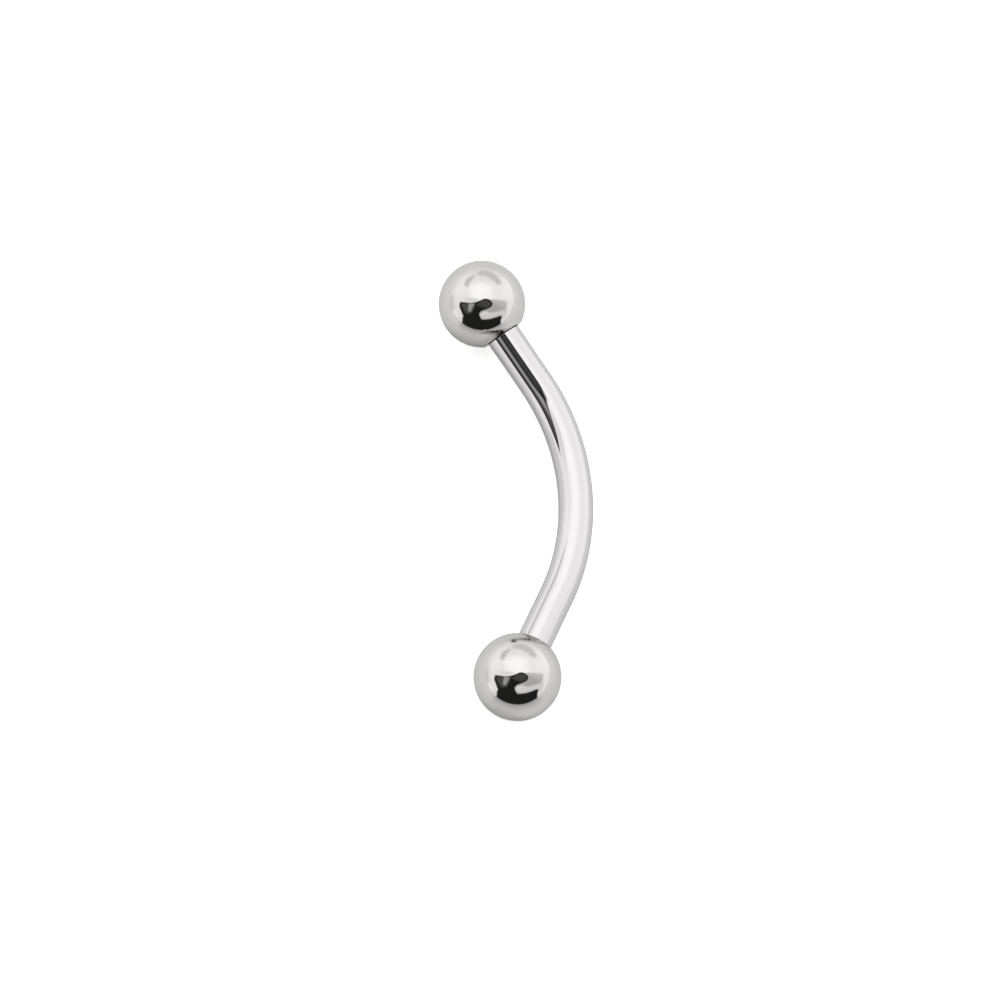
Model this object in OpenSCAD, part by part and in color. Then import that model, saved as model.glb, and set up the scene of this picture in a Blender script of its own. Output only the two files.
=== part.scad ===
// Curved barbell for a body piercing: a bent bar with a screw-on ball at each end.
// Millimetres, +Z up. It lies on its two balls and on the middle of its bend.
// +Y runs from the front ball to the back ball, and the bar bulges towards +X.
// The origin is on the surface below the middle of the whole piece.

/* [Bar] */
// Diameter of the bar, 16 gauge
bar_d = 1.2; // [1:0.1:1.3]
// Radius of the bend, at the middle of the bar
bend_r = 7.3; // [7:0.1:8]
// Turn of the bend from its middle to each end, in degrees
half_turn = 31; // [28:1:34]
// Length of bar that shows, straight across from one ball's seat to the other's
wear_length = 11; // [10:0.5:13]

/* [Balls] */
// Diameter of each ball
ball_d = 3; // [3:0.1:4]
// Diameter of the flat seat that the bar meets on each ball
seat_d = 1.56; // [1.5:0.02:1.7]

/* [Screw posts] */
// Diameter of the screw posts over their thread
post_d = 1.1; // [0.8:0.02:1.1]
// Length of each screw post
post_length = 1.75; // [1.2:0.05:1.8]
// Clearance all round between a post and the hole in its ball
thread_gap = 0.03; // [0.02:0.01:0.05]
// Depth to which the full bar is let into the ball's seat
socket_depth = 0.13; // [0.1:0.01:0.2]
// Gap left between the bar's shoulder and the ball
shoulder_gap = 0.02; // [0.02:0.01:0.05]

/* [Hidden] */

// Which end of the bar a piece is at, along Y
BACK = 1;
FRONT = -1;

// Smoothness of the round surfaces
$fn = 96;

bar_r = bar_d / 2;
ball_r = ball_d / 2;
post_r = post_d / 2;
post_chamfer = 0.1;
bore_r = post_r + thread_gap;
socket_r = bar_r + thread_gap;

// Room past the end of the post, and the cone that the drill leaves at the bottom
bore_end_gap = 0.2;
drill_point_angle = 118;
drill_point_length = bore_r / tan(drill_point_angle / 2);

// Distance from a ball's centre to its seat
seat_height = sqrt(pow(ball_r, 2) - pow(seat_d / 2, 2));

// Straight stretch of bar from the end of the bend to the seat, then to the shoulder
straight = (wear_length / 2 - bend_r * sin(half_turn)) / cos(half_turn);
shoulder = straight + socket_depth;

// Height of the bend's middle over the line between the balls' centres
end_length = straight + seat_height;
rise = bend_r * (1 - cos(half_turn)) + end_length * sin(half_turn);

// The bend dips until its middle touches the surface that the balls stand on
dip = asin((ball_r - bar_r) / rise);
middle_x = (rise * cos(dip) + bar_r - ball_r) / 2;

// Puts a shape drawn in the bend's own plane, round its centre, where it lies
module as_it_lies() {
    translate([-middle_x, 0, ball_r])
        rotate([0, dip, 0])
            translate([rise - bend_r, 0, 0])
                children();
}

// Puts a shape at one end of the bend, with its +Z axis running out along the bar
module at_end(side) {
    rotate([0, 0, side * half_turn])
        translate([bend_r, 0, 0])
            rotate([-90 * side, 0, 0])
                children();
}

// Straight end of the bar, turned down to the screw post past its shoulder
module bar_end() {
    rotate_extrude()
        polygon([
            [0, 0],
            [bar_r, 0],
            [bar_r, shoulder],
            [post_r, shoulder],
            [post_r, shoulder + post_length - post_chamfer],
            [post_r - post_chamfer, shoulder + post_length],
            [0, shoulder + post_length]
        ]);
}

// Front half of the bar: the bend starts square on the straight end, runs a little past
// the middle and is cut off there, so that both halves meet on one plane
module half_bar() {
    past_middle = 1;
    difference() {
        union() {
            rotate([0, 0, -half_turn])
                rotate_extrude(angle = half_turn + past_middle)
                    translate([bend_r, 0])
                        circle(r = bar_r);
            at_end(FRONT) bar_end();
        }
        translate([0, 0, -bar_d])
            cube([2 * bend_r, bend_r, 2 * bar_d]);
    }
}

// Hole for the post, drawn from the seat up into the ball
module ball_hole() {
    floor_z = socket_depth + shoulder_gap;
    bore_end = shoulder - straight + post_length + bore_end_gap;
    rotate_extrude()
        polygon([
            [0, -ball_r],
            [ball_d, -ball_r],
            [ball_d, 0],
            [socket_r, 0],
            [socket_r, floor_z],
            [bore_r, floor_z],
            [bore_r, bore_end],
            [0, bore_end + drill_point_length]
        ]);
}

module ball(side) {
    color("silver")
        as_it_lies()
            at_end(side)
                translate([0, 0, straight])
                    difference() {
                        translate([0, 0, seat_height])
                            sphere(r = ball_r);
                        ball_hole();
                    }
}

module curved_bar() {
    color("lightgray")
        as_it_lies() {
            half_bar();
            mirror([0, 1, 0]) half_bar();
        }
}

module back_ball() {
    ball(BACK);
}

module front_ball() {
    ball(FRONT);
}

curved_bar();
back_ball();
front_ball();
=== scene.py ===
"""Looks of a curved barbell for a body piercing, lying on a pale table in a light tent.

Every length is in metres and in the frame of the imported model: +Z up, +Y from the front
ball to the back ball, +X towards the bulge of the bend.
"""

import logging
import math
from dataclasses import dataclass
from enum import IntEnum

import bmesh
import bpy
import numpy as np
from mathutils import Matrix, Vector


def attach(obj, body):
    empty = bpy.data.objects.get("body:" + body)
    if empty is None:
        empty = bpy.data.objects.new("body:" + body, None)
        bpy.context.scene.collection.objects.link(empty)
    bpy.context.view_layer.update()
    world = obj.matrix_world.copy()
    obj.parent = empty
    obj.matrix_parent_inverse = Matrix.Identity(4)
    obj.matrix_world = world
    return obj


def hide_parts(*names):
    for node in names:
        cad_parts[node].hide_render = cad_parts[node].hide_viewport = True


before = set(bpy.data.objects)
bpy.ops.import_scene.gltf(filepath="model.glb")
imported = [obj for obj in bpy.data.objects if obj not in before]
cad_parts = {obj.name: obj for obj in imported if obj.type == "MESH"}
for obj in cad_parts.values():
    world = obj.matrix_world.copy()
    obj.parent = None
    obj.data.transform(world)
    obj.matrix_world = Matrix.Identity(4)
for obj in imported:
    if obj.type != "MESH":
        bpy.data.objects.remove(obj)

MM = 0.001
LATHE_PLACE = "lathe_place"
MATH_NODE = "ShaderNodeMath"
# A rounded corner turns by at most this much from row to row, in at least three rows.
ARC_TURN = math.radians(15)
ARC_ROWS = 3
log = logging.getLogger("curved_barbell")


def linear(hex_colour: str) -> tuple[float, float, float, float]:
    """Turns an sRGB hex colour into the linear colour that a shader takes.

    Args:
        hex_colour: Six hex digits after a hash sign.

    Returns:
        Linear red, green and blue, and full opacity.
    """
    channels = [int(hex_colour[i : i + 2], 16) / 255 for i in (1, 3, 5)]
    r, g, b = (
        c / 12.92 if c <= 0.04045 else ((c + 0.055) / 1.055) ** 2.4 for c in channels
    )
    return (r, g, b, 1.0)


def add_node(
    tree: bpy.types.NodeTree, kind: str, links: dict | None = None, **settings: object
) -> bpy.types.Node:
    """Adds a node with its settings and links.

    Args:
        tree: The node tree that gets it.
        kind: The node's type name.
        links: For an input's name or number, the output that feeds it or its value.
        settings: Values of the node's own properties.

    Returns:
        The new node.
    """
    node = tree.nodes.new(kind)
    for name, value in settings.items():
        setattr(node, name, value)
    for name, value in (links or {}).items():
        if isinstance(value, bpy.types.NodeSocket):
            tree.links.new(value, node.inputs[name])
        else:
            node.inputs[name].default_value = value
    return node


class Finish(IntEnum):
    """How a stretch of a turned piece was finished."""

    POLISHED = 0
    THREADED = 1
    BORED = 2


@dataclass(frozen=True)
class MirrorPolishedSteel:
    """Surgical stainless steel, buffed to a mirror.

    It gives the eye crisp, slightly warm reflections that waver a little, because buffing
    leaves the surface faintly uneven, under a few hazy marks from the last wheel.
    """

    name: str
    colour: str
    # Steel mirrors less than silver does at a glancing angle.
    edge: str = "#E5E4E3"
    roughness: float = 0.035
    # Clouds of haze start where a noise broader than the ripples is over the first share,
    # and are full at the second.
    haze: float = 0.03
    haze_from: float = 0.45
    haze_full: float = 0.75
    haze_scale: float = 0.6
    # The unevenness is 0.7 mm from crest to crest, and under a hundredth of that high.
    ripple_every: float = 0.7 * MM
    ripple_height: float = 0.0016 * MM
    # Buffing lines are a few thousandths of a millimetre apart. They are drawn 0.05 mm
    # apart, because finer ones don't show in the render.
    line_every: float = 0.05 * MM
    line_height: float = 0.00003 * MM
    line_stretch: float = 14.0
    # Haze is at least this share of its full strength between the lines.
    line_share: float = 0.5

    def material(self) -> bpy.types.Material:
        """Makes the finish.

        Returns:
            The material, whose lines run along the piece's own axis.
        """
        made = bpy.data.materials.new(self.name)
        made.use_nodes = True
        tree = made.node_tree
        tree.nodes.clear()
        place = add_node(tree, "ShaderNodeAttribute", attribute_name=LATHE_PLACE)
        across = 1 / self.line_every
        drawn = add_node(
            tree,
            "ShaderNodeMapping",
            {
                "Vector": place.outputs["Vector"],
                "Scale": (across, across, across / self.line_stretch),
            },
        )
        lines = add_node(
            tree,
            "ShaderNodeTexNoise",
            {"Vector": drawn.outputs[0], "Scale": 1.0, "Detail": 3.0},
        )
        ripple = add_node(
            tree,
            "ShaderNodeTexNoise",
            {
                "Vector": place.outputs["Vector"],
                "Scale": 1 / self.ripple_every,
                "Detail": 1.0,
            },
        )
        cloud = add_node(
            tree,
            "ShaderNodeTexNoise",
            {
                "Vector": place.outputs["Vector"],
                "Scale": self.haze_scale / self.ripple_every,
                "Detail": 4.0,
            },
        )
        haze = add_node(
            tree,
            "ShaderNodeMapRange",
            {
                "Value": cloud.outputs["Fac"],
                "From Min": self.haze_from,
                "From Max": self.haze_full,
                "To Min": 0.0,
                "To Max": self.haze,
            },
        )
        streak = add_node(
            tree,
            MATH_NODE,
            {0: lines.outputs["Fac"], 1: 1 - self.line_share, 2: self.line_share},
            operation="MULTIPLY_ADD",
        )
        mark = add_node(
            tree,
            MATH_NODE,
            {0: haze.outputs[0], 1: streak.outputs[0], 2: self.roughness},
            operation="MULTIPLY_ADD",
        )
        wavy = add_node(
            tree,
            "ShaderNodeBump",
            {"Height": ripple.outputs["Fac"], "Distance": self.ripple_height},
        )
        lined = add_node(
            tree,
            "ShaderNodeBump",
            {
                "Height": lines.outputs["Fac"],
                "Distance": self.line_height,
                "Normal": wavy.outputs[0],
            },
        )
        steel = add_node(
            tree,
            "ShaderNodeBsdfPrincipled",
            {
                "Base Color": linear(self.colour),
                "Metallic": 1.0,
                "Specular Tint": linear(self.edge),
                "Roughness": mark.outputs[0],
                "Normal": lined.outputs[0],
            },
        )
        add_node(tree, "ShaderNodeOutputMaterial", {"Surface": steel.outputs[0]})
        return made


@dataclass(frozen=True)
class CutSteel:
    """Surgical stainless steel as a die, tap or drill leaves it.

    It gives the eye a satin grey that glints along fine rings round the axis.
    """

    name: str
    colour: str
    roughness: float
    # A tool mark is about 0.01 mm wide. It is drawn three times as wide, so that it shows.
    mark_every: float = 0.03 * MM
    mark_height: float = 0.0006 * MM
    mark_stretch: float = 12.0
    # The marks vary the roughness between these two multiples of it.
    smoothest: float = 0.8
    roughest: float = 1.25
    # The noise that draws them keeps mostly between these.
    noise_low: float = 0.3
    noise_high: float = 0.7

    def material(self) -> bpy.types.Material:
        """Makes the finish.

        Returns:
            The material, whose tool marks run round the piece's own axis.
        """
        made = bpy.data.materials.new(self.name)
        made.use_nodes = True
        tree = made.node_tree
        tree.nodes.clear()
        place = add_node(tree, "ShaderNodeAttribute", attribute_name=LATHE_PLACE)
        often = 1 / self.mark_every
        seldom = often / self.mark_stretch
        round_axis = add_node(
            tree,
            "ShaderNodeMapping",
            {
                "Vector": place.outputs["Vector"],
                "Scale": (seldom, seldom, often),
            },
        )
        marks = add_node(
            tree,
            "ShaderNodeTexNoise",
            {"Vector": round_axis.outputs[0], "Scale": 1.0, "Detail": 3.0},
        )
        rough = add_node(
            tree,
            "ShaderNodeMapRange",
            {
                "Value": marks.outputs["Fac"],
                "From Min": self.noise_low,
                "From Max": self.noise_high,
                "To Min": self.roughness * self.smoothest,
                "To Max": self.roughness * self.roughest,
            },
        )
        cut = add_node(
            tree,
            "ShaderNodeBump",
            {"Height": marks.outputs["Fac"], "Distance": self.mark_height},
        )
        steel = add_node(
            tree,
            "ShaderNodeBsdfPrincipled",
            {
                "Base Color": linear(self.colour),
                "Metallic": 1.0,
                "Roughness": rough.outputs[0],
                "Normal": cut.outputs[0],
            },
        )
        add_node(tree, "ShaderNodeOutputMaterial", {"Surface": steel.outputs[0]})
        return made


@dataclass(frozen=True)
class WhiteAcrylic:
    """White cast acrylic with a satin face, whose glow is painted light.

    It gives the eye an even white that mirrors what is beyond it very softly at a low
    angle. Its glow is painted light in the face, not a lamp below it, and it hides most of
    the shadows on it.
    """

    name: str
    colour: str
    # Emission of the face: painted light, since the table is no lamp.
    glow: float
    roughness: float = 0.3
    index: float = 1.49

    def material(self) -> bpy.types.Material:
        """Makes the finish of the table.

        Returns:
            The material, whose face lies like a clear coat over the white.
        """
        made = bpy.data.materials.new(self.name)
        made.use_nodes = True
        tree = made.node_tree
        tree.nodes.clear()
        face = add_node(
            tree,
            "ShaderNodeBsdfPrincipled",
            {
                "Base Color": linear(self.colour),
                "Specular IOR Level": 0.0,
                "Coat Weight": 1.0,
                "Coat Roughness": self.roughness,
                "Coat IOR": self.index,
                "Emission Color": (1.0, 1.0, 1.0, 1.0),
                "Emission Strength": self.glow,
            },
        )
        add_node(tree, "ShaderNodeOutputMaterial", {"Surface": face.outputs[0]})
        return made


@dataclass(frozen=True)
class Corner:
    """A corner in the half outline of a turned piece, and the stretch that leads to it.

    Args:
        r: Distance from the axis.
        s: Place along the axis.
        rounding: Radius that the corner is rounded to.
        step: Greatest distance between rows on the stretch up to here.
        thread: Share of the thread's full depth that is cut here.
        finish: Finish of the stretch up to here.
    """

    r: float
    s: float
    rounding: float = 0.0
    step: float = 1.0
    thread: float = 0.0
    finish: Finish = Finish.POLISHED


def outline_rows(corners: list[Corner]) -> list[tuple[float, float, float, int]]:
    """Draws a half outline through its corners, with the rounded ones as short arcs.

    Args:
        corners: The corners in order, from one point on the axis to another.

    Returns:
        A row of radius, place along the axis, thread and finish for each point.
    """
    rows: list[tuple[float, float, float, int]] = []
    first = corners[0]
    rows.append((first.r, first.s, first.thread, int(first.finish)))
    leave = np.array([first.r, first.s])
    for before, here, after in zip(corners, corners[1:], corners[2:] + [None]):
        corner = np.array([here.r, here.s])
        arc: list[np.ndarray] = [corner]
        if here.rounding and after is not None:
            back = np.array([before.r, before.s]) - corner
            ahead = np.array([after.r, after.s]) - corner
            back /= np.linalg.norm(back)
            ahead /= np.linalg.norm(ahead)
            half = math.acos(float(np.clip(back @ ahead, -1, 1))) / 2
            run = here.rounding / math.tan(half)
            turn = math.pi - 2 * half
            middle = corner + (back + ahead) / np.linalg.norm(back + ahead) * (
                here.rounding / math.sin(half)
            )
            start = corner + back * run - middle
            end = corner + ahead * run - middle
            count = max(ARC_ROWS, math.ceil(turn / ARC_TURN))
            arc = []
            for i in range(count + 1):
                t = i / count
                a, b = math.sin((1 - t) * turn), math.sin(t * turn)
                arc.append(middle + (start * a + end * b) / math.sin(turn))
        span = float(np.linalg.norm(arc[0] - leave))
        count = max(1, math.ceil(span / here.step))
        for i in range(1, count + 1):
            t = i / count
            at = leave + (arc[0] - leave) * t
            thread = before.thread + (here.thread - before.thread) * t
            rows.append((float(at[0]), float(at[1]), thread, int(here.finish)))
        for at in arc[1:]:
            rows.append((float(at[0]), float(at[1]), here.thread, int(here.finish)))
        leave = arc[-1]
    return rows


@dataclass(frozen=True)
class Bend:
    """The line that the whole piece follows: straight, bent through an arc, straight."""

    radius: float = 7.3 * MM
    half_turn: float = math.radians(31)
    wear_length: float = 11 * MM
    bar_radius: float = 0.6 * MM
    ball_radius: float = 1.5 * MM
    seat_radius: float = 0.78 * MM

    @property
    def half_arc(self) -> float:
        """Length of the bend from its middle to its end."""
        return self.radius * self.half_turn

    @property
    def seat_height(self) -> float:
        """Distance from a ball's centre to its seat."""
        return math.sqrt(self.ball_radius**2 - self.seat_radius**2)

    @property
    def straight(self) -> float:
        """Straight bar from the end of the bend to a ball's seat."""
        across = self.wear_length / 2 - self.radius * math.sin(self.half_turn)
        return across / math.cos(self.half_turn)

    @property
    def seat_at(self) -> float:
        """Place of a ball's seat along the line, from the middle of the bend."""
        return self.half_arc + self.straight

    @property
    def rise(self) -> float:
        """Height of the bend's middle over the line between the balls' centres."""
        end = self.straight + self.seat_height
        return self.radius * (1 - math.cos(self.half_turn)) + end * math.sin(
            self.half_turn
        )

    @property
    def dip(self) -> float:
        """Angle at which the bend leans down to the surface that the balls stand on."""
        return math.asin((self.ball_radius - self.bar_radius) / self.rise)

    @property
    def middle_x(self) -> float:
        """Middle of the whole piece along X, from the balls' centres."""
        reach = self.rise * math.cos(self.dip) + self.bar_radius - self.ball_radius
        return reach / 2


@dataclass(frozen=True)
class Thread:
    """The screw thread of a post, or of the hole that it goes into."""

    pitch: float = 0.25 * MM
    depth: float = 0.14 * MM
    rows_per_pitch: int = 14

    @property
    def step(self) -> float:
        """Distance between rows that draws the thread round enough."""
        return self.pitch / self.rows_per_pitch


class TurnedOnTheBend:
    """Geometry Nodes that turn a half outline into a round piece along the bend."""

    # From the middle of a crest to the middle of a root, the flank starts at the first
    # share of the way and ends at the second.
    FLANK = (0.14, 0.94)
    # Points nearer than this are one: the seam's, and those at a tip.
    ONE_POINT = 2e-8
    # A face has the mean of its corners' finish numbers. A finish starts this far under its own.
    UNDER = 0.4
    SIZES = (
        ("Facets", "NodeSocketInt"),
        ("Thread pitch", "NodeSocketFloat"),
        ("Thread depth", "NodeSocketFloat"),
        ("Bend radius", "NodeSocketFloat"),
        ("Half turn", "NodeSocketFloat"),
        ("Rise", "NodeSocketFloat"),
        ("Dip", "NodeSocketFloat"),
        ("Middle", "NodeSocketVector"),
        ("Polished", "NodeSocketMaterial"),
        ("Threaded", "NodeSocketMaterial"),
        ("Bored", "NodeSocketMaterial"),
    )

    def __init__(self) -> None:
        """Builds the tree and its named inputs."""
        self.tree = bpy.data.node_groups.new("turned_on_the_bend", "GeometryNodeTree")
        face = self.tree.interface
        face.new_socket("Outline", in_out="INPUT", socket_type="NodeSocketGeometry")
        for name, kind in self.SIZES:
            face.new_socket(name, in_out="INPUT", socket_type=kind)
        face.new_socket("Piece", in_out="OUTPUT", socket_type="NodeSocketGeometry")
        self._fill()

    def _fill(self) -> None:
        """Adds the nodes: a grid is rolled round the axis, then laid along the bend."""
        tree = self.tree
        given = add_node(tree, "NodeGroupInput").outputs
        count = add_node(
            tree,
            "GeometryNodeAttributeDomainSize",
            {"Geometry": given["Outline"]},
            component="MESH",
        )
        rows = count.outputs["Point Count"]
        around = add_node(tree, MATH_NODE, {0: given["Facets"], 1: 1.0}, operation="ADD")
        grid = add_node(
            tree,
            "GeometryNodeMeshGrid",
            {
                "Size X": 1.0,
                "Size Y": 1.0,
                "Vertices X": around.outputs[0],
                "Vertices Y": rows,
            },
        )
        index = add_node(tree, "GeometryNodeInputIndex").outputs[0]
        row = add_node(tree, MATH_NODE, {0: index, 1: rows}, operation="MODULO").outputs[0]
        lap = add_node(tree, MATH_NODE, {0: index, 1: rows}, operation="DIVIDE").outputs[0]
        column = add_node(tree, MATH_NODE, {0: lap}, operation="FLOOR").outputs[0]
        turns = add_node(
            tree, MATH_NODE, {0: column, 1: given["Facets"]}, operation="DIVIDE"
        ).outputs[0]
        angle = add_node(tree, MATH_NODE, {0: turns, 1: math.tau}, operation="MULTIPLY").outputs[0]

        place = add_node(tree, "GeometryNodeInputPosition").outputs[0]
        point = add_node(
            tree,
            "GeometryNodeSampleIndex",
            {"Geometry": given["Outline"], "Value": place, "Index": row},
            data_type="FLOAT_VECTOR",
        )
        split = add_node(tree, "ShaderNodeSeparateXYZ", {0: point.outputs[0]})
        radius, along = split.outputs["X"], split.outputs["Z"]
        shares = {}
        for name in ("thread", "finish"):
            stored = add_node(
                tree, "GeometryNodeInputNamedAttribute", {"Name": name}, data_type="FLOAT"
            )
            shares[name] = add_node(
                tree,
                "GeometryNodeSampleIndex",
                {
                    "Geometry": given["Outline"],
                    "Value": stored.outputs[0],
                    "Index": row,
                },
                data_type="FLOAT",
            ).outputs[0]

        # A right-handed groove with a rounded root and a rounded crest.
        laps = add_node(
            tree, MATH_NODE, {0: along, 1: given["Thread pitch"]}, operation="DIVIDE"
        ).outputs[0]
        phase = add_node(tree, MATH_NODE, {0: laps, 1: turns}, operation="SUBTRACT").outputs[0]
        part = add_node(tree, MATH_NODE, {0: phase}, operation="FRACT").outputs[0]
        wave = add_node(
            tree, MATH_NODE, {0: part, 1: 2.0, 2: -1.0}, operation="MULTIPLY_ADD"
        ).outputs[0]
        flank = add_node(tree, MATH_NODE, {0: wave}, operation="ABSOLUTE").outputs[0]
        groove = add_node(
            tree,
            "ShaderNodeMapRange",
            {"Value": flank, "From Min": self.FLANK[0], "From Max": self.FLANK[1]},
            interpolation_type="SMOOTHSTEP",
        ).outputs[0]
        cut = add_node(
            tree, MATH_NODE, {0: groove, 1: shares["thread"]}, operation="MULTIPLY"
        ).outputs[0]
        reach = add_node(
            tree, MATH_NODE, {0: cut, 1: given["Thread depth"], 2: radius}, operation="MULTIPLY_ADD"
        ).outputs[0]

        cosine = add_node(tree, MATH_NODE, {0: angle}, operation="COSINE").outputs[0]
        sine = add_node(tree, MATH_NODE, {0: angle}, operation="SINE").outputs[0]
        side = add_node(tree, MATH_NODE, {0: reach, 1: cosine}, operation="MULTIPLY").outputs[0]
        out = add_node(tree, MATH_NODE, {0: reach, 1: sine}, operation="MULTIPLY").outputs[0]
        rolled = add_node(tree, "ShaderNodeCombineXYZ", {"X": side, "Y": out, "Z": along})
        placed = add_node(
            tree,
            "GeometryNodeSetPosition",
            {"Geometry": grid.outputs["Mesh"], "Position": rolled.outputs[0]},
        )
        kept = add_node(
            tree,
            "GeometryNodeStoreNamedAttribute",
            {"Geometry": placed.outputs[0], "Name": LATHE_PLACE, "Value": place},
            data_type="FLOAT_VECTOR",
            domain="POINT",
        )
        marked = add_node(
            tree,
            "GeometryNodeStoreNamedAttribute",
            {"Geometry": kept.outputs[0], "Name": "finish", "Value": shares["finish"]},
            data_type="FLOAT",
            domain="POINT",
        )
        closed = add_node(
            tree,
            "GeometryNodeMergeByDistance",
            {"Geometry": marked.outputs[0], "Distance": self.ONE_POINT},
        )

        # Along the bend: the arc takes what it can of the length, and the rest is straight.
        here = add_node(tree, "ShaderNodeSeparateXYZ", {0: place}).outputs
        most = add_node(
            tree, MATH_NODE, {0: given["Half turn"], 1: -1.0}, operation="MULTIPLY"
        ).outputs[0]
        whole = add_node(
            tree, MATH_NODE, {0: here["Z"], 1: given["Bend radius"]}, operation="DIVIDE"
        ).outputs[0]
        low = add_node(tree, MATH_NODE, {0: whole, 1: most}, operation="MAXIMUM").outputs[0]
        bent = add_node(
            tree, MATH_NODE, {0: low, 1: given["Half turn"]}, operation="MINIMUM"
        ).outputs[0]
        used = add_node(
            tree, MATH_NODE, {0: bent, 1: given["Bend radius"]}, operation="MULTIPLY"
        ).outputs[0]
        rest = add_node(tree, MATH_NODE, {0: here["Z"], 1: used}, operation="SUBTRACT").outputs[0]
        arm = add_node(
            tree, MATH_NODE, {0: given["Bend radius"], 1: here["Y"]}, operation="ADD"
        ).outputs[0]
        unturned = add_node(tree, "ShaderNodeCombineXYZ", {"X": arm, "Y": rest, "Z": here["X"]})
        turned = add_node(
            tree,
            "ShaderNodeVectorRotate",
            {"Vector": unturned.outputs[0], "Angle": bent},
            rotation_type="Z_AXIS",
        )
        back = add_node(
            tree, MATH_NODE, {0: given["Rise"], 1: given["Bend radius"]}, operation="SUBTRACT"
        ).outputs[0]
        shift = add_node(tree, "ShaderNodeCombineXYZ", {"X": back})
        pulled = add_node(
            tree,
            "ShaderNodeVectorMath",
            {0: turned.outputs[0], 1: shift.outputs[0]},
            operation="ADD",
        )
        leaning = add_node(
            tree,
            "ShaderNodeVectorRotate",
            {"Vector": pulled.outputs[0], "Angle": given["Dip"]},
            rotation_type="Y_AXIS",
        )
        lying = add_node(
            tree,
            "ShaderNodeVectorMath",
            {0: leaning.outputs[0], 1: given["Middle"]},
            operation="ADD",
        )
        laid = add_node(
            tree,
            "GeometryNodeSetPosition",
            {"Geometry": closed.outputs[0], "Position": lying.outputs[0]},
        )
        smooth = add_node(
            tree,
            "GeometryNodeSetShadeSmooth",
            {"Geometry": laid.outputs[0], "Shade Smooth": True},
        )
        real = add_node(tree, "GeometryNodeRealizeInstances", {"Geometry": smooth.outputs[0]})
        dressed = add_node(
            tree,
            "GeometryNodeSetMaterial",
            {"Geometry": real.outputs[0], "Material": given["Polished"]},
        )
        finish = add_node(
            tree, "GeometryNodeInputNamedAttribute", {"Name": "finish"}
        ).outputs[0]
        for name, kind in (("Threaded", Finish.THREADED), ("Bored", Finish.BORED)):
            chosen = add_node(
                tree, MATH_NODE, {0: finish, 1: kind - self.UNDER}, operation="GREATER_THAN"
            )
            dressed = add_node(
                tree,
                "GeometryNodeSetMaterial",
                {
                    "Geometry": dressed.outputs[0],
                    "Selection": chosen.outputs[0],
                    "Material": given[name],
                },
            )
        add_node(tree, "NodeGroupOutput", {"Piece": dressed.outputs[0]})

    def make(
        self,
        name: str,
        rows: list[tuple[float, float, float, int]],
        bend: Bend,
        sizes: dict[str, object],
    ) -> bpy.types.Object:
        """Makes one turned piece and bakes it to a plain mesh.

        Args:
            name: The piece's name.
            rows: Its half outline, as outline_rows gives it.
            bend: The line that it follows.
            sizes: Its facets, thread and finishes, by the names of the tree's inputs.

        Returns:
            The piece, at the origin, with its place in its mesh.
        """
        mesh = bpy.data.meshes.new(name)
        mesh.from_pydata([(r, 0.0, s) for r, s, _, _ in rows], [], [])
        for column, label in ((2, "thread"), (3, "finish")):
            stored = mesh.attributes.new(label, "FLOAT", "POINT")
            stored.data.foreach_set("value", [float(row[column]) for row in rows])
        piece = bpy.data.objects.new(name, mesh)
        bpy.context.scene.collection.objects.link(piece)
        given = dict(sizes)
        given["Bend radius"] = bend.radius
        given["Half turn"] = bend.half_turn
        given["Rise"] = bend.rise
        given["Dip"] = bend.dip
        given["Middle"] = (-bend.middle_x, 0.0, bend.ball_radius)
        modifier = piece.modifiers.new("turned", "NODES")
        modifier.node_group = self.tree
        for socket in self.tree.interface.items_tree:
            if socket.in_out == "INPUT" and socket.name in given:
                modifier[socket.identifier] = given[socket.name]
        graph = bpy.context.evaluated_depsgraph_get()
        baked = bpy.data.meshes.new_from_object(
            piece.evaluated_get(graph), preserve_all_data_layers=True, depsgraph=graph
        )
        piece.modifiers.clear()
        piece.data = baked
        baked.name = name
        bpy.data.meshes.remove(mesh)
        self._face_outwards(baked)
        return piece

    @staticmethod
    def _face_outwards(mesh: bpy.types.Mesh) -> None:
        """Turns the faces round if they point into the steel.

        Args:
            mesh: The piece's mesh.
        """
        work = bmesh.new()
        work.from_mesh(mesh)
        if work.calc_volume(signed=True) < 0:
            bmesh.ops.reverse_faces(work, faces=work.faces)
        work.to_mesh(mesh)
        work.free()


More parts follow.
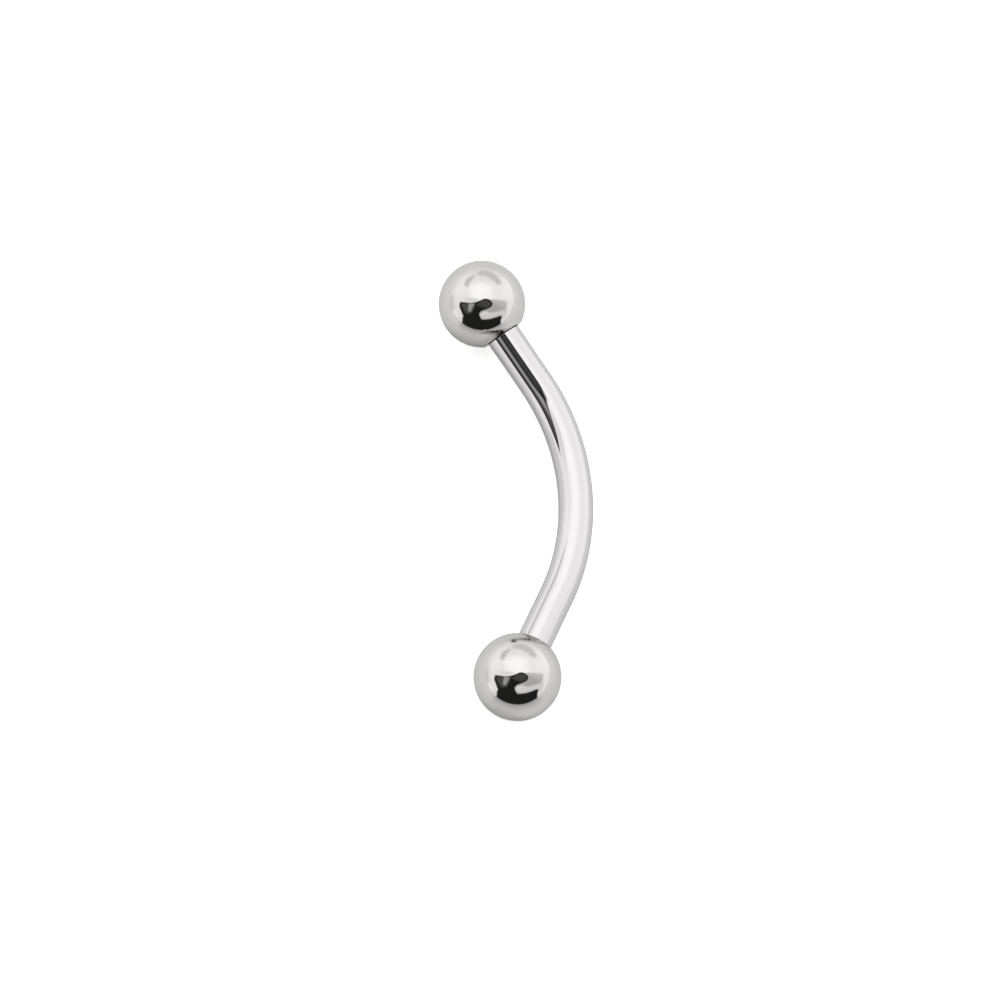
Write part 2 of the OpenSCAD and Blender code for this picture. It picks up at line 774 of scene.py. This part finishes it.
@dataclass(frozen=True)
class BentBar:
    """The bar: bent, with a threaded post past a shoulder at each end."""

    bend: Bend
    thread: Thread
    socket_depth: float = 0.13 * MM
    # Polishing rounds each end of the full bar, so it meets the ball in a fine groove.
    end_taper: float = 0.02 * MM
    end_length: float = 0.03 * MM
    post_radius: float = 0.55 * MM
    post_length: float = 1.75 * MM
    post_chamfer: float = 0.1 * MM
    # Edges are rounded this much, twice as much at the seat, and half at the post's root.
    edge: float = 0.01 * MM
    # Greatest distances between rows: along the bend, past the seat, and at an edge.
    long_row: float = 0.08 * MM
    short_row: float = 0.03 * MM
    edge_row: float = 0.01 * MM
    # Close rows before the groove keep what the bar mirrors true right up to it.
    close_from: float = 0.02 * MM
    close_row: float = 0.004 * MM
    # From the shoulder, the thread starts and is at its full depth here.
    thread_from: float = 0.12 * MM
    thread_full: float = 0.3 * MM
    facets: int = 144

    def rows(self) -> list[tuple[float, float, float, int]]:
        """Draws the bar's half outline from one tip to the other.

        Returns:
            The rows as outline_rows gives them, the same way from the middle to each tip.
        """
        bend, thread = self.bend, self.thread
        shoulder = bend.seat_at + self.socket_depth
        tip = shoulder + self.post_length
        chamfer = tip - self.post_chamfer
        root = self.post_radius - thread.depth
        end = self.post_radius - self.post_chamfer
        left = (end - root) / thread.depth
        narrow = bend.bar_radius - self.end_taper
        rounded = bend.seat_at - self.end_length
        fine, cut = thread.step, Finish.THREADED
        half = [
            Corner(bend.bar_radius, 0.0),
            Corner(bend.bar_radius, rounded - self.close_from, 0, self.long_row),
            Corner(bend.bar_radius, rounded, self.edge, self.close_row),
            Corner(narrow, bend.seat_at, 2 * self.edge, self.edge_row),
            Corner(narrow, shoulder, self.edge, self.short_row),
            Corner(self.post_radius, shoulder, self.edge / 2, self.edge_row),
            Corner(self.post_radius, shoulder + self.thread_from, 0, self.short_row, 0, cut),
            Corner(self.post_radius, shoulder + self.thread_full, 0, fine, 1, cut),
            Corner(self.post_radius, chamfer, 0, fine, 1, cut),
            Corner(end, tip, 0, self.edge_row, left, cut),
            Corner(root - self.edge, tip, 0, 2 * self.edge_row, 0, cut),
            Corner(0.0, tip, 0, 2 * self.short_row, 0, cut),
        ]
        ahead = outline_rows(half)
        behind = [(r, -s, thread, finish) for r, s, thread, finish in ahead[:0:-1]]
        return behind + ahead

    def build(
        self, lathe: TurnedOnTheBend, finishes: dict[str, bpy.types.Material]
    ) -> bpy.types.Object:
        """Makes and dresses the bar.

        Args:
            lathe: The tree that turns it.
            finishes: Its materials, by the names of the tree's inputs.

        Returns:
            The bar, which stands for the CAD bar.
        """
        sizes = {
            "Facets": self.facets,
            "Thread pitch": self.thread.pitch,
            "Thread depth": -self.thread.depth,
            **finishes,
        }
        piece = lathe.make("polished_bar", self.rows(), self.bend, sizes)
        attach(piece, "bar")
        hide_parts("curved_bar")
        return piece


@dataclass(frozen=True)
class ScrewBall:
    """A ball with a flat seat round the threaded hole that takes the bar's post."""

    bend: Bend
    thread: Thread
    side: int
    name: str
    node: str
    bore_radius: float = 0.58 * MM
    socket_radius: float = 0.63 * MM
    socket_floor: float = 0.15 * MM
    bore_end: float = 2.08 * MM
    drill_point: float = math.radians(118)
    # Radii of the rounded edges of the seat, the socket, its floor and the bore.
    seat_edge: float = 0.03 * MM
    socket_edge: float = 0.012 * MM
    floor_edge: float = 0.01 * MM
    bore_edge: float = 0.015 * MM
    # From the socket's floor, the thread starts and is at its full depth here.
    thread_from: float = 0.08 * MM
    thread_full: float = 0.2 * MM
    # Before the bore's end, it starts to fade and is gone here.
    fade_from: float = 0.3 * MM
    fade_end: float = 0.15 * MM
    # A tap cuts this share of the post's depth.
    thread_share: float = 0.85
    # Greatest distances between rows: in the socket, on its floor, along the bore's end,
    # and on the drill's cone. The dome has a number of rows instead.
    socket_row: float = 0.03 * MM
    floor_row: float = 0.02 * MM
    bore_row: float = 0.05 * MM
    cone_row: float = 0.08 * MM
    dome_rows: int = 96
    facets: int = 176

    def rows(self) -> list[tuple[float, float, float, int]]:
        """Draws the ball's half outline from its far pole to the bottom of its hole.

        Returns:
            The rows as outline_rows gives them, on the ball's own side of the bend.
        """
        bend, fine = self.bend, self.thread.step
        seat = bend.seat_at
        centre = seat + bend.seat_height
        edge = math.pi - math.asin(bend.seat_radius / bend.ball_radius)
        turns = [edge * i / self.dome_rows for i in range(self.dome_rows)]
        dome = [
            Corner(bend.ball_radius * math.sin(t), centre + bend.ball_radius * math.cos(t))
            for t in turns
        ]
        floor = seat + self.socket_floor
        end = seat + self.bore_end
        point = self.bore_radius / math.tan(self.drill_point / 2)
        bore, deep = self.bore_radius, self.thread_share
        bored, cut = Finish.BORED, Finish.THREADED
        hole = [
            Corner(bend.seat_radius, seat, self.seat_edge),
            Corner(self.socket_radius, seat, self.socket_edge, self.socket_row),
            Corner(self.socket_radius, floor, self.floor_edge, self.socket_row, 0, bored),
            Corner(bore, floor, self.bore_edge, self.floor_row, 0, bored),
            Corner(bore, floor + self.thread_from, 0, self.socket_row, 0, cut),
            Corner(bore, floor + self.thread_full, 0, fine, deep, cut),
            Corner(bore, end - self.fade_from, 0, fine, deep, cut),
            Corner(bore, end - self.fade_end, 0, fine, 0, cut),
            Corner(bore, end, 0, self.bore_row, 0, bored),
            Corner(0.0, end + point, 0, self.cone_row, 0, bored),
        ]
        return [
            (r, self.side * s, thread, finish)
            for r, s, thread, finish in outline_rows(dome + hole)
        ]

    def build(
        self, lathe: TurnedOnTheBend, finishes: dict[str, bpy.types.Material]
    ) -> bpy.types.Object:
        """Makes and dresses the ball.

        Args:
            lathe: The tree that turns it.
            finishes: Its materials, by the names of the tree's inputs.

        Returns:
            The ball, which stands for its CAD node and rides on its own body.
        """
        sizes = {
            "Facets": self.facets,
            "Thread pitch": self.thread.pitch,
            "Thread depth": self.thread.depth,
            **finishes,
        }
        piece = lathe.make(self.name, self.rows(), self.bend, sizes)
        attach(piece, self.node)
        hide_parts(self.node)
        return piece


@dataclass(frozen=True)
class Panel:
    """A patch of the light tent, drawn over what is under it.

    Args:
        light: Its brightness, where 1 is white.
        blur: Width of its soft edge, in degrees.
        outline: Its corners, as degrees round from the front and degrees up.
    """

    light: float
    blur: float
    outline: tuple[tuple[float, float], ...]

    def depth(self, around: np.ndarray, up: np.ndarray) -> np.ndarray:
        """Measures how far inside the patch each direction is.

        Args:
            around: Degrees round from the front.
            up: Degrees up.

        Returns:
            Degrees from the edge, negative outside.
        """
        nearest = np.full(around.shape, 1e9)
        inside = np.zeros(around.shape, bool)
        ends = self.outline[1:] + self.outline[:1]
        for (ax, ay), (bx, by) in zip(self.outline, ends):
            dx, dy = bx - ax, by - ay
            t = ((around - ax) * dx + (up - ay) * dy) / (dx * dx + dy * dy)
            t = np.clip(t, 0, 1)
            away = np.hypot(around - ax - t * dx, up - ay - t * dy)
            nearest = np.minimum(nearest, away)
            if dy:
                crossed = (ay > up) != (by > up)
                inside ^= crossed & (around < ax + (up - ay) * dx / dy)
        return np.where(inside, nearest, -nearest)


@dataclass(frozen=True)
class Studio:
    """A light tent over a glowing white table, open at the front where the camera stands."""

    tent_radius: float = 0.45
    # The tent's mesh is fine enough for its sharpest edges.
    columns: int = 240
    rings: int = 90
    strength: float = 1.05
    # Brightness of the tent under its panels, from the foot up.
    foot: float = 1.13
    wall: float = 1.25
    roof: float = 1.57
    # Degrees up at which the wall and the roof start, and that each change takes.
    wall_from: float = 5.0
    wall_over: float = 14.0
    roof_from: float = 40.0
    roof_over: float = 32.0
    # The lamp in watts. It stands low behind, for the long shadows that the steel mirrors.
    lamp_power: float = 0.95
    lamp_width: float = 0.24
    lamp_around: float = math.radians(150)
    lamp_up: float = math.radians(27)
    # Share of the tent's radius at which it stands.
    lamp_reach: float = 0.9
    table_sides: int = 96
    # How far the mirrored table lies under the one that is seen.
    table_gap: float = 0.002 * MM
    backdrop: str = "#FAFAF9"
    panels: tuple[Panel, ...] = (
        # The bright side of the wall, and its bright far corner.
        Panel(1.45, 88, ((84, -12), (138, -12), (138, 46), (84, 46))),
        Panel(1.46, 66, ((-152, 12), (-112, 12), (-112, 40), (-152, 40))),
        # The dim and the bright part of its foot.
        Panel(0.9, 20, ((-110, -12), (-85, -12), (-85, 8), (-110, 8))),
        Panel(1.5, 25, ((96, -12), (130, -12), (130, 9), (96, 9))),
        # The back of the roof.
        Panel(1.6, 24, ((135, 50), (228, 46), (228, 95), (135, 95))),
        # Two seams under it.
        Panel(
            0.88,
            10,
            ((-168, 18), (-150, 20), (-137, 29), (-138, 41), (-152, 36), (-170, 26)),
        ),
        Panel(
            0.9,
            12,
            (
                (128, 21), (150, 9), (170, 4), (184, 13), (184, 22), (160, 28), (144, 33),
                (130, 33),
            ),
        ),
        # Beside the opening: a shade, and the bright foot at its left and at its right.
        Panel(1.15, 16, ((-104, 46), (-84, 46), (-62, 80), (-96, 80))),
        Panel(1.36, 10, ((-82, 0), (-64, 0), (-66, 12), (-80, 12))),
        Panel(1.32, 10, ((53, 3), (82, 3), (80, 14), (57, 14))),
        # The opening, with the dark room beyond.
        Panel(
            0.02,
            4,
            (
                (-51, 0), (-53, 7), (-56, 13), (-58, 20), (-68, 23.5), (-84, 25), (-92, 30),
                (-90, 36), (-87, 43), (-83, 49), (-77, 55), (-73, 61), (-68.5, 67), (-62, 73),
                (-56, 78.5), (-45, 82.4), (-28, 84.7), (0, 86.4), (34, 86.4), (62, 85.5), (78.5, 81),
                (77.5, 73), (70, 63.5), (60, 57.5), (45, 55.5), (28, 57), (8, 57.5), (-8, 55.5),
                (-14.5, 49), (-12.5, 43), (-5.5, 33.8), (12, 32.3), (30, 28.8), (44.5, 23.5),
                (51.5, 18), (41.3, 9.5), (37, 0),
            ),
        ),
        # What it shows overhead and at the left, and a wedge of light there.
        Panel(
            0.085,
            8,
            (
                (-50, 68), (0, 67), (20, 62), (46, 60), (62, 65), (67, 78), (40, 84),
                (-30, 83),
            ),
        ),
        Panel(0.11, 8, ((-88, 32), (-54, 32), (-44, 42), (-45, 60), (-68, 66), (-78, 54))),
        Panel(0.5, 7, ((-77, 54), (-59, 67), (-48, 45), (-55, 40))),
        # A grey card in the opening, and its lit edge.
        Panel(
            0.64,
            5,
            (
                (-15, 49), (-8, 55.5), (8, 57.5), (28, 57), (45, 55.5), (60, 57.5), (70, 63.5),
                (76, 70), (77, 40), (76, 19), (54, 19), (44.5, 23.5), (30, 28.8), (12, 32.3),
                (-5.5, 33.8),
            ),
        ),
        Panel(0.8, 12, ((67, 20), (66, 58), (72, 66), (82, 66), (85, 20))),
        # The light on the card, and the brightest part of it.
        Panel(
            1.0,
            6,
            (
                (-12.5, 43), (-14, 49), (5, 51), (22, 48), (47, 36), (62, 25), (70, 12),
                (48, 6), (50, 18), (43.5, 25.5), (30, 30), (12, 33.5), (-4, 35.5),
            ),
        ),
        Panel(1.22, 6, ((-8, 47), (-6, 52), (14, 53), (24, 47))),
    )

    @staticmethod
    def blend(low: np.ndarray, high: np.ndarray | float, share: np.ndarray) -> np.ndarray:
        """Goes smoothly from one brightness to another as the share goes from 0 to 1.

        Args:
            low: The brightness at 0.
            high: The brightness at 1.
            share: How far it has gone, also under 0 and over 1, where it stays.

        Returns:
            The brightness.
        """
        t = np.clip(share, 0, 1)
        t = t * t * (3 - 2 * t)
        return low * (1 - t) + high * t

    def brightness(self, around: np.ndarray, up: np.ndarray) -> np.ndarray:
        """Works out how bright the tent is in each direction from the table.

        Args:
            around: Degrees round from the front, towards +X.
            up: Degrees up.

        Returns:
            The brightness, where 1 is white.
        """
        foot = np.full(up.shape, self.foot)
        light = self.blend(foot, self.wall, (up - self.wall_from) / self.wall_over)
        light = self.blend(light, self.roof, (up - self.roof_from) / self.roof_over)
        for panel in self.panels:
            deep = np.maximum(panel.depth(around, up), panel.depth(around + 360, up))
            light = self.blend(light, panel.light, deep / panel.blur + 0.5)
        return light

    def build_tent(self) -> bpy.types.Object:
        """Makes the tent, which lights the scene and shows only in reflections.

        Returns:
            The tent, a dome whose points carry the brightness.
        """
        columns, rings = self.columns, self.rings
        around = np.radians(np.arange(columns) * 360 / columns - 180)
        up = np.radians(np.arange(rings) * 90 / rings)
        a, e = np.meshgrid(around, up)
        points = (
            np.stack([np.sin(a) * np.cos(e), -np.cos(a) * np.cos(e), np.sin(e)], -1)
            * self.tent_radius
        ).reshape(-1, 3)
        light = self.brightness(np.degrees(a), np.degrees(e)).reshape(-1)
        top = len(points)
        faces = []
        for ring in range(rings - 1):
            for i in range(columns):
                j = (i + 1) % columns
                low, high = ring * columns, (ring + 1) * columns
                faces.append((low + i, low + j, high + j, high + i))
        last = (rings - 1) * columns
        for i in range(columns):
            faces.append((last + i, last + (i + 1) % columns, top))
        mesh = bpy.data.meshes.new("light_tent")
        mesh.from_pydata(
            [*map(tuple, points), (0.0, 0.0, self.tent_radius)], [], faces
        )
        colour = np.ones((top + 1, 4), np.float32)
        colour[:top, :3] = light[:, None]
        colour[top, :3] = self.roof
        stored = mesh.color_attributes.new("light", "FLOAT_COLOR", "POINT")
        stored.data.foreach_set("color", colour.ravel())
        tent = bpy.data.objects.new("light_tent", mesh)
        bpy.context.scene.collection.objects.link(tent)
        tent.visible_camera = False
        lit = bpy.data.materials.new("backlit_white_fabric")
        lit.use_nodes = True
        lit.cycles.emission_sampling = "NONE"
        tree = lit.node_tree
        tree.nodes.clear()
        shade = add_node(tree, "ShaderNodeAttribute", attribute_name="light")
        glow = add_node(
            tree,
            "ShaderNodeEmission",
            {"Color": shade.outputs["Color"], "Strength": self.strength},
        )
        add_node(tree, "ShaderNodeOutputMaterial", {"Surface": glow.outputs[0]})
        mesh.materials.append(lit)
        return tent

    def build_table(
        self, name: str, finish: WhiteAcrylic, height: float
    ) -> bpy.types.Object:
        """Makes a white table top for the piece to lie on.

        Args:
            name: The table's name.
            finish: What it is made of.
            height: Height of its top.

        Returns:
            The table, a disc as wide as the tent.
        """
        mesh = bpy.data.meshes.new(name)
        count = self.table_sides
        turns = [math.tau * i / count for i in range(count)]
        ring = [
            (self.tent_radius * math.cos(t), self.tent_radius * math.sin(t), height)
            for t in turns
        ]
        mesh.from_pydata(ring, [], [tuple(range(count))])
        mesh.materials.append(finish.material())
        table = bpy.data.objects.new(name, mesh)
        bpy.context.scene.collection.objects.link(table)
        return table

    def build_tables(self) -> None:
        """Makes the glowing table that the eye sees, and the plain one that the steel sees.

        The seen table glows with painted light, which washes the shadows out of it and leaves
        the background white, as in a catalogue, while the steel still mirrors the soft
        shadows that fall under it.
        """
        # Its glow of 0.62 is painted light, which hides the shadows cast on it.
        seen = self.build_table(
            "painted_glow_table", WhiteAcrylic("painted_glow_acrylic", "#F4F4F3", 0.62), 0.0
        )
        seen.visible_glossy = False
        seen.visible_diffuse = False
        seen.visible_transmission = False
        seen.visible_shadow = False
        # It lies a hair lower, because two faces in one plane would hide each other. Its faint
        # glow is painted light as well.
        mirrored = self.build_table(
            "mirrored_table",
            WhiteAcrylic("satin_white_acrylic", "#EBEBEA", 0.03),
            -self.table_gap,
        )
        mirrored.visible_camera = False

    def build_lamp(self) -> bpy.types.Object:
        """Makes the soft lamp behind, which lights the tables and isn't mirrored.

        Returns:
            The lamp, aimed at the middle of the table.
        """
        around, up = self.lamp_around, self.lamp_up
        towards = Vector(
            (
                math.sin(around) * math.cos(up),
                -math.cos(around) * math.cos(up),
                math.sin(up),
            )
        )
        light = bpy.data.lights.new("softbox", "AREA")
        light.shape = "DISK"
        light.size = self.lamp_width
        light.energy = self.lamp_power
        lamp = bpy.data.objects.new("softbox", light)
        lamp.location = towards * self.tent_radius * self.lamp_reach
        lamp.rotation_euler = towards.to_track_quat("Z", "Y").to_euler()
        lamp.visible_camera = False
        lamp.visible_glossy = False
        bpy.context.scene.collection.objects.link(lamp)
        return lamp

    def build_backdrop(self) -> None:
        """Gives the space beyond the table a plain pale colour."""
        world = bpy.data.worlds.new("pale_backdrop")
        world.use_nodes = True
        tree = world.node_tree
        tree.nodes.clear()
        pale = add_node(tree, "ShaderNodeBackground", {"Color": linear(self.backdrop)})
        add_node(tree, "ShaderNodeOutputWorld", {"Surface": pale.outputs[0]})
        bpy.context.scene.world = world


@dataclass(frozen=True)
class Viewpoint:
    """Where the camera stands, and what it looks at."""

    around: float = math.radians(-5.27)
    up: float = math.radians(75.94)
    distance: float = 200 * MM
    target: tuple[float, float, float] = (-0.858 * MM, -0.267 * MM, 1.0 * MM)
    # Focal length and sensor width, in millimetres as a camera takes them.
    lens: float = 210.3
    sensor: float = 36.0
    near: float = 1 * MM
    far: float = 10.0

    def build(self) -> bpy.types.Object:
        """Makes the camera and gives it to the scene.

        Returns:
            The camera, level from left to right.
        """
        level = math.cos(self.up)
        back = Vector(
            (
                math.sin(self.around) * level,
                -math.cos(self.around) * level,
                math.sin(self.up),
            )
        )
        right = Vector((math.cos(self.around), math.sin(self.around), 0.0))
        upward = back.cross(right)
        lens = bpy.data.cameras.new("camera")
        lens.lens = self.lens
        lens.sensor_width = self.sensor
        lens.clip_start = self.near
        lens.clip_end = self.far
        camera = bpy.data.objects.new("camera", lens)
        turn = Matrix((right, upward, back)).transposed().to_4x4()
        place = Vector(self.target) + back * self.distance
        camera.matrix_world = Matrix.Translation(place) @ turn
        bpy.context.scene.collection.objects.link(camera)
        bpy.context.scene.camera = camera
        return camera


def main() -> None:
    """Builds the studio, the bar and the two balls."""
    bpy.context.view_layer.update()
    scene = bpy.context.scene
    scene.view_settings.view_transform = "Standard"
    Viewpoint().build()
    studio = Studio()
    studio.build_tent()
    studio.build_tables()
    studio.build_lamp()
    studio.build_backdrop()

    bend, thread = Bend(), Thread()
    lathe = TurnedOnTheBend()
    threaded = CutSteel("die_cut_surgical_steel", "#BDBBB8", 0.24).material()
    bored = CutSteel("drilled_surgical_steel", "#B4B2AF", 0.34).material()
    bar_finishes = {
        "Polished": MirrorPolishedSteel(
            "mirror_polished_drawn_steel", "#C5C3C4", "#E4E4E4"
        ).material(),
        "Threaded": threaded,
        "Bored": bored,
    }
    ball_steel = MirrorPolishedSteel(
        "mirror_polished_turned_steel", "#C5C4C1", line_height=0.00001 * MM, line_stretch=2.0
    ).material()
    ball_finishes = {"Polished": ball_steel, "Threaded": threaded, "Bored": bored}
    pieces = [
        BentBar(bend, thread).build(lathe, bar_finishes),
        ScrewBall(bend, thread, 1, "polished_back_ball", "back_ball").build(
            lathe, ball_finishes
        ),
        ScrewBall(bend, thread, -1, "polished_front_ball", "front_ball").build(
            lathe, ball_finishes
        ),
    ]
    for piece in pieces:
        mesh = piece.data
        mesh.calc_loop_triangles()
        log.info("%s: %d triangles", piece.name, len(mesh.loop_triangles))
    bpy.context.view_layer.update()


if __name__ == "__main__":
    logging.basicConfig(level=logging.INFO, format="%(name)s: %(message)s")
    main()
